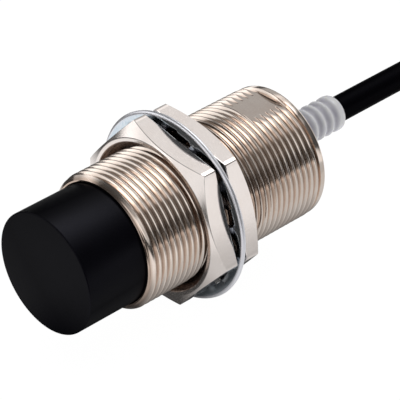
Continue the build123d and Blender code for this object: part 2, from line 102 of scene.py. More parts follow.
# --- nuts ---
HALF_FLATS = 18.0 * MM
NUT_FLAT_TURN = math.radians(11.4)
NUT_CHAMFER = math.tan(math.radians(30))
NUT_FACE_R = 17.5 * MM
COUNTERSINK_R = 16.75 * MM
SEAT_COUNTERSINK_R = 15.5 * MM
CORNER_ROUND = math.radians(0.35)
NUT_EDGE = 0.14 * MM

# --- washer ---
WASHER_MIDDLE = (WASHER_LOW.x + WASHER_HIGH.x) / 2
WASHER_R = WASHER_HIGH.y
WASHER_EDGE_ROUND = 0.7 * MM
WASHER_RING_INNER_R = 18.5 * MM
WASHER_BORE_R = 15.3 * MM
WASHER_THICKNESS = 1.1 * MM
TOOTH_COUNT = 12
TOOTH_HALF_ANGLE = math.radians(9.15)
TOOTH_RISE = 0.87 * MM
TOOTH_TURN = math.radians(-2)
TOOTH_THINNING = 0.25
TWIST_RATE = 2.2

# --- cap, plug and boot ---
CAP_WALL = 1.47 * MM
CAP_FACE = 0.9 * MM
CAP_GROOVE_DEPTH = 1.05 * MM
CAP_GROOVE_START = 3.05 * MM
CAP_GROOVE_END = 1.75 * MM
PLUG_BOOT_BORE_R = 4.15 * MM
PLUG_GUIDE_GAP = 0.1 * MM
BOOT_R = 4.05 * MM
BOOT_FLANGE = 2.0 * MM
BOOT_PLAIN = 1.6 * MM
BOOT_RIBS = 6
BOOT_GROOVE = 0.38 * MM
BOOT_LIP = 1.8 * MM
BOOT_LIP_ROUND = 1.0 * MM

# --- where painted shade and a painted highlight change a metal's tone: radii in millimetres ---
ROOT_PAINTED_SHADE = (14.15, 14.6)
NUT_PAINTED_SHADE = (16.5, 16.8)
SEAT_PAINTED_SHADE_EXTRA = 1.1
TOOTH_PAINTED_SHADE = (18.2, 18.9)
RIM_PAINTED_HIGHLIGHT = (20.1, 20.45)

SHARP_ANGLE = 38


# ---------------------------------------------------------------- mesh building
def make_object(name, vertices, faces, material, sharp_angle=SHARP_ANGLE):
    """A smooth-shaded mesh object, cleaned of doubled points, with creases marked sharp."""
    mesh = bpy.data.meshes.new(name)
    work = bmesh.new()
    points = [work.verts.new(v) for v in vertices]
    for face in faces:
        corners = [points[i] for i in dict.fromkeys(face)]
        if len(corners) > 2:
            work.faces.new(corners)
    bmesh.ops.remove_doubles(work, verts=work.verts, dist=2e-7)
    bmesh.ops.dissolve_degenerate(work, dist=2e-7, edges=work.edges)
    bmesh.ops.recalc_face_normals(work, faces=work.faces)
    work.to_mesh(mesh)
    work.free()
    obj = bpy.data.objects.new(name, mesh)
    bpy.context.scene.collection.objects.link(obj)
    finish_mesh(obj, material, sharp_angle)
    return obj


def finish_mesh(obj, material, sharp_angle=SHARP_ANGLE):
    obj.data.shade_smooth()
    obj.data.set_sharp_from_angle(angle=math.radians(sharp_angle))
    obj.data.materials.clear()
    obj.data.materials.append(material)


def grid_faces(rows, columns, closed_rows=True, closed_columns=False):
    """Quads of a grid whose points are listed column by column."""
    faces = []
    last_column = columns if closed_columns else columns - 1
    last_row = rows if closed_rows else rows - 1
    for c in range(last_column):
        for r in range(last_row):
            a, b = c * rows + r, c * rows + (r + 1) % rows
            d, e = (c + 1) % columns * rows + r, (c + 1) % columns * rows + (r + 1) % rows
            faces.append((a, b, e, d))
    return faces


def quarter_turn(steps):
    """Angles from 0 to 90 degrees."""
    return [math.radians(90 * step / steps) for step in range(steps + 1)]


def around(x, radius, angle, z=0.0):
    return (x, radius * math.cos(angle), z + radius * math.sin(angle))


def softened(outline, radius, steps=3):
    """A closed outline of (x, radius) points with its corners rounded, except those on the axis."""
    result = []
    count = len(outline)
    for index in range(count):
        if outline[index][1] == 0:
            result.append(outline[index])
            continue
        before = np.array(outline[index - 1], float)
        corner = np.array(outline[index], float)
        after = np.array(outline[(index + 1) % count], float)
        into, out = before - corner, after - corner
        reach = min(radius, 0.45 * np.linalg.norm(into), 0.45 * np.linalg.norm(out))
        start = corner + into / np.linalg.norm(into) * reach
        end = corner + out / np.linalg.norm(out) * reach
        for step in range(steps + 1):
            s = step / steps
            result.append(tuple((1 - s) ** 2 * start + 2 * s * (1 - s) * corner + s ** 2 * end))
    return result


def turned(name, outline, material, round_r=0.15 * MM, z=0.0, columns=120, steps=3):
    """A turned solid from a closed outline of (x, radius) points about a line along X."""
    outline = softened(outline, round_r, steps)
    outline = [(x, max(radius, 0.0)) for x, radius in outline]
    points = [around(x, radius, TURN * c / columns, z)
              for c in range(columns) for x, radius in outline]
    faces = grid_faces(len(outline), columns, closed_columns=True)
    return make_object(name, points, faces, material)


def boolean_cut(obj, cutter):
    """Takes the cutter's volume out of obj and deletes the cutter."""
    modifier = obj.modifiers.new("cut", "BOOLEAN")
    modifier.operation = "DIFFERENCE"
    modifier.solver = "EXACT"
    modifier.object = cutter
    depsgraph = bpy.context.evaluated_depsgraph_get()
    result = bpy.data.meshes.new_from_object(obj.evaluated_get(depsgraph))
    obj.modifiers.clear()
    old = obj.data
    obj.data = result
    bpy.data.meshes.remove(old)
    bpy.data.objects.remove(cutter)


def box_mesh(name, low, high, material):
    corners = [(x, y, z) for x in (low[0], high[0]) for y in (low[1], high[1]) for z in (low[2], high[2])]
    faces = [(0, 1, 3, 2), (4, 6, 7, 5), (0, 4, 5, 1), (2, 3, 7, 6), (0, 2, 6, 4), (1, 5, 7, 3)]
    return make_object(name, corners, faces, material)


# ---------------------------------------------------------------- thread
def soft_clamp(value, softness):
    """The value held between 0 and 1, with rounded corners at both ends."""
    low = value if value > softness else (value + softness) ** 2 / (4 * softness)
    low = 0.0 if value < -softness else low
    over = 1 - low
    high = over if over > softness else (over + softness) ** 2 / (4 * softness)
    high = 0.0 if over < -softness else high
    return 1 - high


def thread_radius(phase, grow=0.0):
    """The thread's radius at a phase in pitches, where whole numbers are the crests."""
    from_crest = abs(phase - round(phase)) * PITCH
    flank = (PITCH - CREST_FLAT - ROOT_FLAT) / 2
    share = soft_clamp((from_crest - CREST_FLAT / 2) / flank, THREAD_SOFTNESS)
    return CREST_R - THREAD_DEPTH * share + grow


def thread_column(angle, start, end, limit, grow=0.0):
    """Points (x, radius) of one lengthwise line over a right-hand thread from start to end.
    Each point keeps its place on the helix, so neighbouring columns line up along the ridges."""
    offset = (angle / TURN + 0.25) * PITCH
    first = math.floor(start / PITCH) - 2
    count = math.ceil((end - start) / PITCH) + 3
    column = []
    for index in range(count * SAMPLES_PER_PITCH + 1):
        phase = first + index / SAMPLES_PER_PITCH
        x = min(max(phase * PITCH + offset, start), end)
        column.append((x, limit(x, thread_radius((x - offset) / PITCH, grow))))
    return column


def threaded_skin(angles, column_of):
    """Grid points for a skin with a helix in it: the last column repeats the first, one pitch on."""
    columns = [column_of(angle) for angle in angles]
    rows = len(columns[0])
    points = [around(x, radius, angle) for angle, column in zip(angles, columns) for x, radius in column]
    return points, grid_faces(rows, len(angles))


def make_barrel(material):
    """A threaded tube with a chamfered front end, a plain rounded rim and a milled flat."""
    front, end = BARREL_LOW.x, BARREL_HIGH.x
    rim = end - RIM_LENGTH
    chamfer_r = CREST_R - FRONT_CHAMFER
    bore_break, seat_break, rim_step = 0.3 * MM, 0.12 * MM, 0.1 * MM

    def limit(x, radius):
        return min(radius, chamfer_r + (x - front))

    def column_of(angle):
        helix = thread_column(angle, front, rim, limit)
        inside = [(end, BORE_R + bore_break), (end - bore_break, BORE_R), (front + SEAT_DEPTH, BORE_R),
                  (front + SEAT_DEPTH, SEAT_R), (front + seat_break, SEAT_R), (front, SEAT_R + seat_break)]
        round_end = [(end - RIM_ROUND * (1 - math.sin(a)), RIM_R - RIM_ROUND * (1 - math.cos(a)))
                     for a in quarter_turn(RIM_ROUND_STEPS)]
        return inside + helix + [(rim + rim_step, RIM_R)] + round_end

    angles = [TURN * c / THREAD_COLUMNS for c in range(THREAD_COLUMNS + 1)]
    points, faces = threaded_skin(angles, column_of)
    barrel = make_object("barrel_body", points, faces, material)
    flat_end = end - FLAT_TO_END
    cutter = box_mesh("flat_cutter", (flat_end - FLAT_LENGTH, -CREST_R, FLAT_HEIGHT),
                      (flat_end, CREST_R, CREST_R + 2 * MM), material)
    boolean_cut(barrel, cutter)
    finish_mesh(barrel, material)
    crease_flat(barrel.data)
    return barrel


def crease_flat(mesh):
    """Keeps the milled flat level in shading where it meets the thread at a shallow angle."""
    for polygon in mesh.polygons:
        if polygon.normal.z > 0.9999 and abs(polygon.center.z - FLAT_HEIGHT) < 0.01 * MM:
            polygon.use_smooth = False


# ---------------------------------------------------------------- nuts
def hex_angles(per_side=26):
    """Angles about X with the hexagon's radius at each, and a narrow strip that softens each corner."""
    corner_out = 0.02 * MM
    reach = math.radians(30) - CORNER_ROUND
    result = []
    for side in range(6):
        middle = math.radians(90) + NUT_FLAT_TURN + side * math.radians(60)
        for step in range(per_side + 1):
            off = -reach + 2 * reach * step / per_side
            result.append((middle + off, HALF_FLATS / math.cos(off)))
        result.append((middle + math.radians(30), HALF_FLATS / math.cos(reach) + corner_out))
    result.append((result[0][0] + TURN, result[0][1]))
    return result


def make_nut(name, chamfered_face, other_face, material):
    """A hexagon nut, chamfered on one side, with a countersink at both ends of its thread."""
    low, high = min(chamfered_face, other_face), max(chamfered_face, other_face)
    into = 1 if other_face > chamfered_face else -1
    radii = dict(hex_angles())

    def limit(x, radius):
        front_cone = COUNTERSINK_R - abs(x - chamfered_face)
        rear_cone = SEAT_COUNTERSINK_R - abs(x - other_face)
        return max(radius, front_cone, rear_cone)

    def on_chamfer(radius):
        return (chamfered_face + into * (radius - NUT_FACE_R) * NUT_CHAMFER, radius)

    def outside(angle):
        """The nut's outside at one angle. Pairs of points beside an edge keep the faces level in shading."""
        hexagon = radii[angle]
        chamfer = (hexagon - NUT_FACE_R) * NUT_CHAMFER
        line = [
            (chamfered_face, COUNTERSINK_R + 0.05 * MM),
            (chamfered_face, NUT_FACE_R - 0.2 * MM),
            (chamfered_face, NUT_FACE_R - 0.1 * MM),
            (chamfered_face + into * 0.03 * MM, NUT_FACE_R + 0.06 * MM),
            on_chamfer(NUT_FACE_R + NUT_EDGE),
            on_chamfer(hexagon - NUT_EDGE),
            on_chamfer(hexagon - NUT_EDGE / 2),
            (chamfered_face + into * (chamfer + 0.05 * MM), hexagon),
            (other_face - into * (NUT_EDGE + 0.08 * MM), hexagon),
            (other_face - into * NUT_EDGE, hexagon),
            (other_face - into * NUT_EDGE * 0.3, hexagon - NUT_EDGE * 0.3),
            (other_face, hexagon - NUT_EDGE),
            (other_face, SEAT_COUNTERSINK_R + 0.05 * MM),
        ]
        return line if into < 0 else line[::-1]

    def column_of(angle):
        return thread_column(angle, low, high, limit, THREAD_GAP) + outside(angle)

    points, faces = threaded_skin(list(radii), column_of)
    return make_object(name, points, faces, material, sharp_angle=25)


# ---------------------------------------------------------------- washer
def make_washer(material):
    """A flat ring with inward teeth that are each twisted about their own length."""
    half = WASHER_THICKNESS / 2
    edge_angles = [math.radians(d) for d in (4, 20, 36, 52, 66, 79, 90)]
    flat_start = WASHER_RING_INNER_R + 1.2 * MM
    tooth_steps = 10
    slot_steps = 5
    pitch = TURN / TOOTH_COUNT
    radii = [WASHER_RING_INNER_R - share * (WASHER_RING_INNER_R - WASHER_BORE_R)
             for share in (0, 0.08, 0.17, 0.27, 0.4, 0.7, 0.96, 1)]

    def face(side, off_centre, in_tooth):
        """Points down one face from the rim to the bore."""
        line = [(half * math.sin(a), WASHER_R - WASHER_EDGE_ROUND * (1 - math.cos(a))) for a in edge_angles]
        line.append((half, flat_start))
        points = [(WASHER_MIDDLE + side * x, radius) for x, radius in line]
        for index, radius in enumerate(radii):
            if in_tooth:
                share = min(1.0, TWIST_RATE * index / (len(radii) - 1))
                share = share * share * (3 - 2 * share)
                thin = half * (1 - TOOTH_THINNING * share)
                twist = TOOTH_RISE * off_centre * share
                points.append((WASHER_MIDDLE + side * thin + twist, radius))
            else:
                points.append((WASHER_MIDDLE + side * half, WASHER_RING_INNER_R))
        return points

    angles, columns = [], []
    for tooth in range(TOOTH_COUNT):
        centre = math.radians(90) + TOOTH_TURN + pitch * tooth
        for step in range(tooth_steps + 1):
            off = 2 * step / tooth_steps - 1
            angles.append((centre + off * TOOTH_HALF_ANGLE, off, True))
        gap = pitch - 2 * TOOTH_HALF_ANGLE
        for step in range(slot_steps + 1):
            angles.append((centre + TOOTH_HALF_ANGLE + gap * step / slot_steps, 0.0, False))
    for _, off, in_tooth in angles:
        columns.append(face(-1, off, in_tooth) + face(1, off, in_tooth)[::-1])
    points = [around(x, radius, angle)
              for (angle, _, _), column in zip(angles, columns) for x, radius in column]
    faces = grid_faces(len(columns[0]), len(angles), closed_columns=True)
    return make_object("lock_washer", points, faces, material, sharp_angle=40)


# ---------------------------------------------------------------- materials
class Finish:
    """A procedural material, with short ways to add and join its nodes."""

    def __init__(self, name, **inputs):
        self.material = bpy.data.materials.new(name)
        self.material.use_nodes = True
        self.tree = self.material.node_tree
        self.shader = self.tree.nodes["Principled BSDF"]
        for socket, value in inputs.items():
            self.set(socket.replace("_", " "), value)

    def feed(self, socket, value):
        if isinstance(value, bpy.types.NodeSocket):
            self.tree.links.new(value, socket)
        else:
            socket.default_value = value

    def set(self, socket, value):
        self.feed(self.shader.inputs[socket], value)

    def node(self, kind, inputs=None, **settings):
        node = self.tree.nodes.new(kind)
        for key, value in settings.items():
            setattr(node, key, value)
        for key, value in (inputs or {}).items():
            self.feed(node.inputs[key], value)
        return node

    def calc(self, operation, first, second=0.0):
        return self.node("ShaderNodeMath", {0: first, 1: second}, operation=operation).outputs[0]

    def place(self, stretch=(1, 1, 1)):
        """Object coordinates in millimetres, times a stretch along each axis."""
        coords = self.node("ShaderNodeTexCoord").outputs["Object"]
        scale = tuple(s / MM for s in stretch)
        return self.node("ShaderNodeMapping", {"Vector": coords, "Scale": scale}).outputs[0]

    def split(self, vector):
        """The x, y and z sockets of a vector."""
        return self.node("ShaderNodeSeparateXYZ", {0: vector}).outputs

    def length(self, first, second):
        """The length of the vector with these two parts."""
        squares = [self.calc("POWER", value, 2.0) for value in (first, second)]
        return self.calc("SQRT", self.calc("ADD", *squares))

    def polar(self):
        """(x, radius, angle) sockets about the X axis, lengths in millimetres."""
        x, y, z = self.split(self.place())
        return x, self.length(y, z), self.calc("ARCTAN2", z, y)

    def ring_place(self, x_stretch, radius_stretch, angle_stretch):
        """Coordinates that run round the axis, for marks left by turning."""
        x, radius, angle = self.polar()
        return self.node("ShaderNodeCombineXYZ", {
            0: self.calc("MULTIPLY", x, x_stretch),
            1: self.calc("MULTIPLY", radius, radius_stretch),
            2: self.calc("MULTIPLY", angle, angle_stretch),
        }).outputs[0]

    def noise(self, vector, scale, detail=3.0, roughness=0.55):
        inputs = {"Vector": vector, "Scale": scale, "Detail": detail, "Roughness": roughness}
        return self.node("ShaderNodeTexNoise", inputs).outputs[0]

    def span(self, value, low, high, out_low, out_high):
        """The value's range low..high stretched to out_low..out_high, held at both ends."""
        inputs = {0: value, 1: low, 2: high, 3: out_low, 4: out_high}
        return self.node("ShaderNodeMapRange", inputs).outputs[0]

    def blend(self, share, first, second):
        mix = self.node("ShaderNodeMix", data_type="RGBA")
        for index, value in ((0, share), (6, first), (7, second)):
            self.feed(mix.inputs[index], value)
        return mix.outputs[2]

    def bump(self, height, distance):
        inputs = {"Height": height, "Distance": distance, "Strength": 1.0}
        return self.node("ShaderNodeBump", inputs).outputs[0]


def rgb(red, green, blue):
    return (red, green, blue, 1.0)


def metal(name, light, deep, roughness, grain, grain_depth, turning_marks=True, painted_shade=None, matt_ends=0.0):
    """Plated metal: cloudy tint, uneven polish and fine tool marks. The painted shade argument is (a function
    for the share of a darker tone painted where shade falls, the tone), and matt_ends the extra roughness of
    faces square to the axis."""
    finish = Finish(name, Metallic=1.0)
    clouds = finish.noise(finish.place(), 0.22, 4.0)
    tone = finish.blend(finish.span(clouds, 0.35, 0.7, 0.0, 1.0), light, deep)
    # Painted shade: a darker tone blended in where the given share says shade falls.
    if painted_shade:
        shade_share, shade_tone = painted_shade
        tone = finish.blend(shade_share(finish), tone, shade_tone)
    finish.set("Base Color", tone)
    place = finish.ring_place(*grain) if turning_marks else finish.place(grain)
    marks = finish.noise(place, 1.0, 4.0, 0.7)
    specks = finish.noise(finish.place(), 5.0, 2.0)
    polish = finish.calc("ADD", finish.span(marks, 0.3, 0.7, roughness * 0.8, roughness * 1.2),
                         finish.span(specks, 0.55, 0.75, 0.0, 0.1))
    if matt_ends:
        normal = finish.split(finish.node("ShaderNodeNewGeometry").outputs["Normal"])
        facing_along = finish.calc("ABSOLUTE", normal[0])
        polish = finish.calc("ADD", polish, finish.span(facing_along, 0.3, 0.6, 0.0, matt_ends))
    finish.set("Roughness", polish)
    finish.set("Normal", finish.bump(marks, grain_depth))
    return finish.material


def painted_root_shade(finish):
    """Share of painted shade: 1 in the thread's roots, and 0 on its crests and on the milled flat."""
    height = finish.split(finish.place())[2]
    off_flat = finish.calc("ABSOLUTE", finish.calc("SUBTRACT", height, FLAT_HEIGHT / MM))
    share = finish.span(finish.polar()[1], *ROOT_PAINTED_SHADE, 1.0, 0.0)
    return finish.calc("MULTIPLY", share, finish.span(off_flat, 0.01, 0.03, 0.0, 1.0))


def painted_nut_shade(finish):
    """Share of painted shade: 1 inside the nuts and, on the rear nut, further out where the washer's teeth
    bear on it.
    """
    x, radius, _ = finish.polar()
    seat = finish.span(x, WASHER_MIDDLE / MM, WASHER_HIGH.x / MM, 0.0, SEAT_PAINTED_SHADE_EXTRA)
    return finish.span(finish.calc("SUBTRACT", radius, seat), *NUT_PAINTED_SHADE, 1.0, 0.0)


def nickel_thread():
    # The roots get a painted shade: a darker brown tone that stands in for the shade in the grooves.
    return metal("nickel_thread", rgb(0.90, 0.80, 0.725), rgb(0.84, 0.715, 0.63), 0.12,
                 (9.0, 9.0, 2.0), 0.003 * MM, painted_shade=(painted_root_shade, rgb(0.60, 0.47, 0.39)))


def nickel_nut():
    # The nuts' insides get a painted shade: a dark brown tone standing in for shade in the countersinks and
    # by the washer.
    return metal("nickel_nut", rgb(0.92, 0.85, 0.81), rgb(0.89, 0.81, 0.765), 0.09,
                 (1.2, 7.0, 26.0), 0.003 * MM, painted_shade=(painted_nut_shade, rgb(0.16, 0.12, 0.10)), matt_ends=0.11)


def zinc_steel():
    """Bright zinc plate with a blue cast, brushed round the ring, with a painted highlight whitening the rim
    and painted shade darkening the teeth.
    """
    finish = Finish("zinc_steel", Metallic=1.0)
    brushed = finish.noise(finish.ring_place(6.0, 6.0, 3.0), 1.0, 4.0, 0.7)
    spangle = finish.node("ShaderNodeTexVoronoi", {"Vector": finish.place(), "Scale": 1.6}).outputs["Color"]
    grey = finish.node("ShaderNodeSeparateColor", {0: spangle}).outputs[0]
    plate = finish.blend(grey, rgb(0.66, 0.76, 0.84), rgb(0.78, 0.84, 0.90))
    radius = finish.polar()[1]
    # Painted highlight: a near-white tone on the rim stands in for the light its edge catches.
    rim = finish.span(radius, *RIM_PAINTED_HIGHLIGHT, 0.0, 1.0)
    # Painted shade: the teeth, down in the gap by the nut, get a dark tone.
    off_teeth = finish.span(radius, *TOOTH_PAINTED_SHADE, 0.0, 1.0)
    plate = finish.blend(off_teeth, rgb(0.20, 0.21, 0.24), plate)
    finish.set("Base Color", finish.blend(rim, plate, rgb(0.95, 0.95, 1.0)))
    rim_polish = finish.calc("MULTIPLY", rim, 0.28)
    finish.set("Roughness", finish.calc("ADD", finish.span(brushed, 0.3, 0.7, 0.04, 0.10), rim_polish))
    finish.set("Normal", finish.bump(brushed, 0.002 * MM))
    return finish.material


def plastic(name, colour, roughness=0.42, texture=2.4, depth=0.008, specular=0.5, mottle=0.25, edge=None):
    """Moulded plastic or rubber: fine spark-eroded skin and a faint unevenness of tone. edge is the
    specular level where the surface turns away from the eye, for a skin with a soft blue sheen."""
    finish = Finish(name, Specular_IOR_Level=specular)
    if edge is not None:
        facing = finish.node("ShaderNodeLayerWeight", {"Blend": 0.5}).outputs["Facing"]
        finish.set("Specular IOR Level", finish.span(facing, 0.22, 0.5, specular, edge))
        finish.set("Specular Tint", rgb(0.78, 0.78, 1.0))
    tone = finish.noise(finish.place(), 0.35, 4.0)
    darker = rgb(*[c * (1 - mottle) for c in colour])
    finish.set("Base Color", finish.blend(finish.span(tone, 0.3, 0.7, 0.0, 1.0), rgb(*colour), darker))
    skin = finish.noise(finish.place(), texture, 5.0, 0.65)
    finish.set("Roughness", finish.span(skin, 0.3, 0.7, roughness * 0.85, roughness * 1.15))
    finish.set("Normal", finish.bump(skin, depth * MM))
    return finish.material


def silicone():
    """Milky flexible sleeve. The black cable shows through where its wall is thin."""
    finish = Finish("boot_silicone", Roughness=0.17, IOR=1.48)
    _, y, z = finish.split(finish.place())
    radius = finish.length(y, finish.calc("SUBTRACT", z, BOOT_Z / MM))
    groove_r, rib_r = 3.68, 4.03
    wall = finish.span(radius, groove_r, rib_r, 0.0, 1.0)
    cloud = finish.noise(finish.place(), 0.5, 3.0)
    share = finish.calc("MULTIPLY", wall, finish.span(cloud, 0.3, 0.7, 1.0, 0.75))
    finish.set("Base Color", finish.blend(share, rgb(0.50, 0.49, 0.55), rgb(0.96, 0.96, 0.98)))
    finish.set("Transmission Weight", 0.2)
    finish.set("Subsurface Weight", 0.35)
    finish.set("Subsurface Radius", (0.6 * MM, 0.6 * MM, 0.7 * MM))
    finish.set("Subsurface Scale", 1.0)
    skin = finish.noise(finish.place(), 1.3, 4.0)
    finish.set("Normal", finish.bump(skin, 0.02 * MM))
    return finish.material


def clear_guide():
    """Clear moulded light guide with a faint amber cast and flow marks."""
    finish = Finish("guide_clear", Roughness=0.12, IOR=1.49)
    flow = finish.noise(finish.place((0.3, 1, 1)), 1.2, 2.0)
    finish.set("Base Color", finish.blend(flow, rgb(0.95, 0.88, 0.70), rgb(0.98, 0.95, 0.88)))
    finish.set("Transmission Weight", 0.85)
    finish.set("Normal", finish.bump(flow, 0.02 * MM))
    return finish.material


def stranded_copper():
    """Bare copper with the lay of its twisted strands."""
    finish = Finish("bare_copper", Metallic=1.0)
    wave = finish.node("ShaderNodeTexWave", {"Vector": finish.place((1, 1.4, 1.4)), "Scale": 1.1,
                                             "Distortion": 0.4})
    finish.set("Base Color", finish.blend(wave.outputs[1], rgb(0.82, 0.42, 0.24), rgb(0.93, 0.58, 0.38)))
    finish.set("Roughness", finish.span(finish.noise(finish.place(), 3.0), 0.3, 0.7, 0.18, 0.34))
    finish.set("Normal", finish.bump(wave.outputs[1], 0.05 * MM))
    return finish.material


def wound_copper():
    """Enamelled wire laid in turns round the coil."""
    finish = Finish("coil_copper", Metallic=0.9, Roughness=0.3, Coat_Weight=0.6)
    turns = finish.node("ShaderNodeTexWave", {"Vector": finish.place(), "Scale": 1.6}, bands_direction="X")
    finish.set("Base Color", finish.blend(turns.outputs[1], rgb(0.45, 0.17, 0.07), rgb(0.78, 0.36, 0.17)))
    finish.set("Normal", finish.bump(turns.outputs[1], 0.05 * MM))
    return finish.material


def laminate():
    """Green solder mask over faint copper tracks."""
    finish = Finish("board_laminate", Roughness=0.35, Coat_Weight=0.3)
    tracks = finish.node("ShaderNodeTexBrick", {"Vector": finish.place(), "Scale": 0.35,
                                                "Mortar Size": 0.03}).outputs[1]
    finish.set("Base Color", finish.blend(tracks, rgb(0.012, 0.11, 0.05), rgb(0.03, 0.20, 0.09)))
    finish.set("Normal", finish.bump(tracks, 0.03 * MM))
    return finish.material


# ---------------------------------------------------------------- pieces seen from outside
def make_cap(material):
    """A cup with a flat face and a seal groove near its rear end."""
    radius, front, rear = CAP_HIGH.y, CAP_LOW.x, CAP_HIGH.x
    inner = radius - CAP_WALL
    groove = radius - CAP_GROOVE_DEPTH
    groove_start, groove_end = rear - CAP_GROOVE_START, rear - CAP_GROOVE_END
    outline = [(front, 0), (front, radius), (groove_start, radius), (groove_start, groove),
               (groove_end, groove), (groove_end, radius), (rear, radius), (rear, inner),
               (front + CAP_FACE, inner), (front + CAP_FACE, 0)]
    return turned("sensing_cap_shell", outline, material, 0.3 * MM, columns=160, steps=4)


def make_plug(material):
    """The rear plug, with its bores for the cable boot and the light guide."""
    radius, front, rear = PLUG_HIGH.y, PLUG_LOW.x, PLUG_HIGH.x
    outline = [(front, 0), (front, radius), (rear, radius), (rear, 0)]
    plug = turned("plug_body", outline, material, 0.3 * MM)
    for radius, z in ((PLUG_BOOT_BORE_R, BOOT_Z), (GUIDE_HIGH.y + PLUG_GUIDE_GAP, GUIDE_Z)):
        reach = [(front - MM, 0), (front - MM, radius), (rear + MM, radius), (rear + MM, 0)]
        boolean_cut(plug, turned("plug_cutter", reach, material, 0.01 * MM, z, 64))
    finish_mesh(plug, material)
    return plug


def make_boot(material):
    """Ribbed sleeve: rounded grooves between soft ribs, then a plain lip with a rounded end."""
    bore = JACKET_HIGH.y + 0.05 * MM
    front, end = BOOT_LOW.x, BOOT_HIGH.x
    flange_end, flange_r = front + BOOT_FLANGE, BOOT_HIGH.y
    ribs_start, ribs_end = BARREL_HIGH.x + BOOT_PLAIN, end - BOOT_LIP
    samples = 14
    outline = [(front, bore), (front, flange_r), (flange_end, flange_r), (flange_end, BOOT_R),
               (ribs_start, BOOT_R)]
    for index in range(1, BOOT_RIBS * samples):
        share = index / samples
        wave = 0.5 - 0.5 * math.cos(TURN * share)
        x = ribs_start + (ribs_end - ribs_start) * share / BOOT_RIBS
        outline.append((x, BOOT_R - BOOT_GROOVE * wave ** 0.8))
    outline += [(ribs_end, BOOT_R)]
    outline += [(end - BOOT_LIP_ROUND * (1 - math.sin(a)), BOOT_R - BOOT_LIP_ROUND * 0.85 * (1 - math.cos(a)))
                for a in (0.0, 0.4, 0.8, 1.2, 1.5)]
    outline += [(end, bore + 0.1 * MM), (end - 0.1 * MM, bore)]
    return turned("boot_sleeve", outline, material, 0.05 * MM, BOOT_Z, 96, 1)


def make_guide(material):
    """A round rod with a domed end."""
    radius, front, end = GUIDE_HIGH.y, GUIDE_LOW.x, GUIDE_HIGH.x
    dome = 0.7 * MM
    outline = [(front, 0), (front, radius)]
    outline += [(end - dome + dome * math.sin(a), radius * math.cos(a)) for a in (0, 0.3, 0.6, 0.9, 1.2)]
    outline += [(end, 0)]
    return turned("guide_rod", outline, material, 0.05 * MM, GUIDE_Z, 48, 1)


# ---------------------------------------------------------------- camera, light and floor
CAMERA_AZIMUTH = math.radians(-44.11)
CAMERA_HEIGHT = math.radians(33.70)
CAMERA_DISTANCE = 530.22 * MM
CAMERA_TARGET = Vector((41.73 * MM, 0, 0))
CAMERA_LENS = 230.2
CAMERA_SHIFT = (0.00935, -0.01855)


def make_camera():
    camera = bpy.data.objects.new("camera", bpy.data.cameras.new("camera"))
    bpy.context.scene.collection.objects.link(camera)
    back = Vector((math.sin(CAMERA_AZIMUTH) * math.cos(CAMERA_HEIGHT),
                   -math.cos(CAMERA_AZIMUTH) * math.cos(CAMERA_HEIGHT), math.sin(CAMERA_HEIGHT)))
    camera.location = CAMERA_TARGET + back * CAMERA_DISTANCE
    camera.rotation_mode = "QUATERNION"
    camera.rotation_quaternion = (-back).to_track_quat("-Z", "Y")
    camera.data.lens = CAMERA_LENS
    camera.data.sensor_width = 36
    camera.data.shift_x, camera.data.shift_y = CAMERA_SHIFT
    camera.data.clip_start, camera.data.clip_end = 0.01, 20
    bpy.context.scene.camera = camera


class Sky(Finish):
    """The studio as a node tree: softboxes in a dim room, by direction."""

    def __init__(self):
        world = bpy.data.worlds.new("studio")
        world.use_nodes = True
        bpy.context.scene.world = world
        self.tree = world.node_tree
        coords = self.node("ShaderNodeTexCoord").outputs["Generated"]
        self.direction = self.node("ShaderNodeVectorMath", {0: coords}, operation="NORMALIZE").outputs[0]

    def softbox(self, towards, wide, soft):
        """1 inside a round area of the sky about a direction, fading to 0 over its soft edge."""
        aim = Vector(towards).normalized()
        dot = self.node("ShaderNodeVectorMath", {0: self.direction, 1: aim}, operation="DOT_PRODUCT")
        edge = math.cos(math.radians(wide))
        fade = math.cos(math.radians(wide + soft))
        inputs = {0: dot.outputs["Value"], 1: fade, 2: edge, 3: 0.0, 4: 1.0}
        return self.node("ShaderNodeMapRange", inputs, interpolation_type="SMOOTHSTEP").outputs[0]


# (direction, half width in degrees, soft edge in degrees, brightness)
SOFTBOXES = [
    ((0.42, 0.04, 0.90), 12, 9, 2.40),
    ((-0.20, 0.97, 0.10), 18, 14, 0.45),
    ((-0.65, 0.72, 0.06), 22, 8, 0.85),
    ((-0.95, 0.05, 0.08), 26, 10, 0.85),
    ((-0.42, -0.62, 0.64), 16, 10, 0.40),
    ((-0.85, -0.48, 0.22), 12, 8, 0.45),
    ((0.58, -0.81, 0.00), 8, 5, 0.80),
    ((0.62, 0.62, 0.48), 12, 8, 0.36),
    ((0.41, -0.62, 0.67), 12, 12, 0.08),
    ((0.15, 0.66, 0.74), 10, 12, 0.18),
    ((0.95, 0.05, 0.15), 18, 8, 0.90),
    ((0.54, -0.34, 0.77), 4, 8, 0.50),
    ((0.30, 0.38, 0.88), 6, 9, 1.20),
    ((0.40, -0.36, 0.84), 4, 7, 0.60),
    ((0.58, 0.35, 0.74), 8, 8, 0.70),
]

# (height from 0 at the bottom of the sky to 1 at its top, brightness)
SKY_LEVELS = ((0.0, 0.3), (0.46, 0.12), (0.50, 0.05), (0.60, 0.06), (0.78, 0.06), (0.88, 0.07), (1.0, 0.34))
SKY_EXTRA_FOR_DIFFUSE = 0.25

FLOOR_HALF = 1.5
FLOOR_DROP = 0.2 * MM


